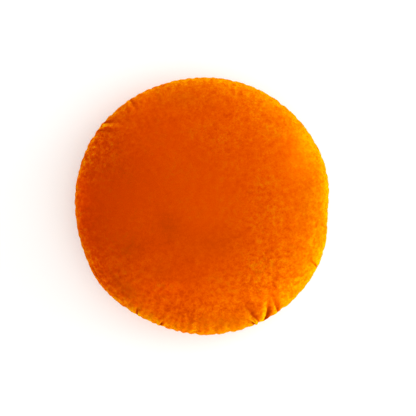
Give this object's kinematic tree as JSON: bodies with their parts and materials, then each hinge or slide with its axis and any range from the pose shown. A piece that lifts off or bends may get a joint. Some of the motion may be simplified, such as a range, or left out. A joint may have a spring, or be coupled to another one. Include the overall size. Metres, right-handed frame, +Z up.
{
  "type": "round floor cushion",
  "caption": "Round, knife-edged floor cushion in plain velvet, crowned on its face, gathered along its edge seam and flat where it lies on the floor.",
  "frame": {"origin": "on the floor, under the middle of the cushion's outline", "axes": "+Z up through the crown, out of the face; +Y towards the top of the face as it is seen in the picture; +X towards its right"},
  "size_m": [0.5926, 0.5994, 0.1649],
  "materials": {
    "velvet": "plain short-pile velvet, soft sheen at grazing angles, faint uneven pile marks"
  },
  "bodies": {
    "root": {"cushion": "velvet"}
  },
  "joints": []
}
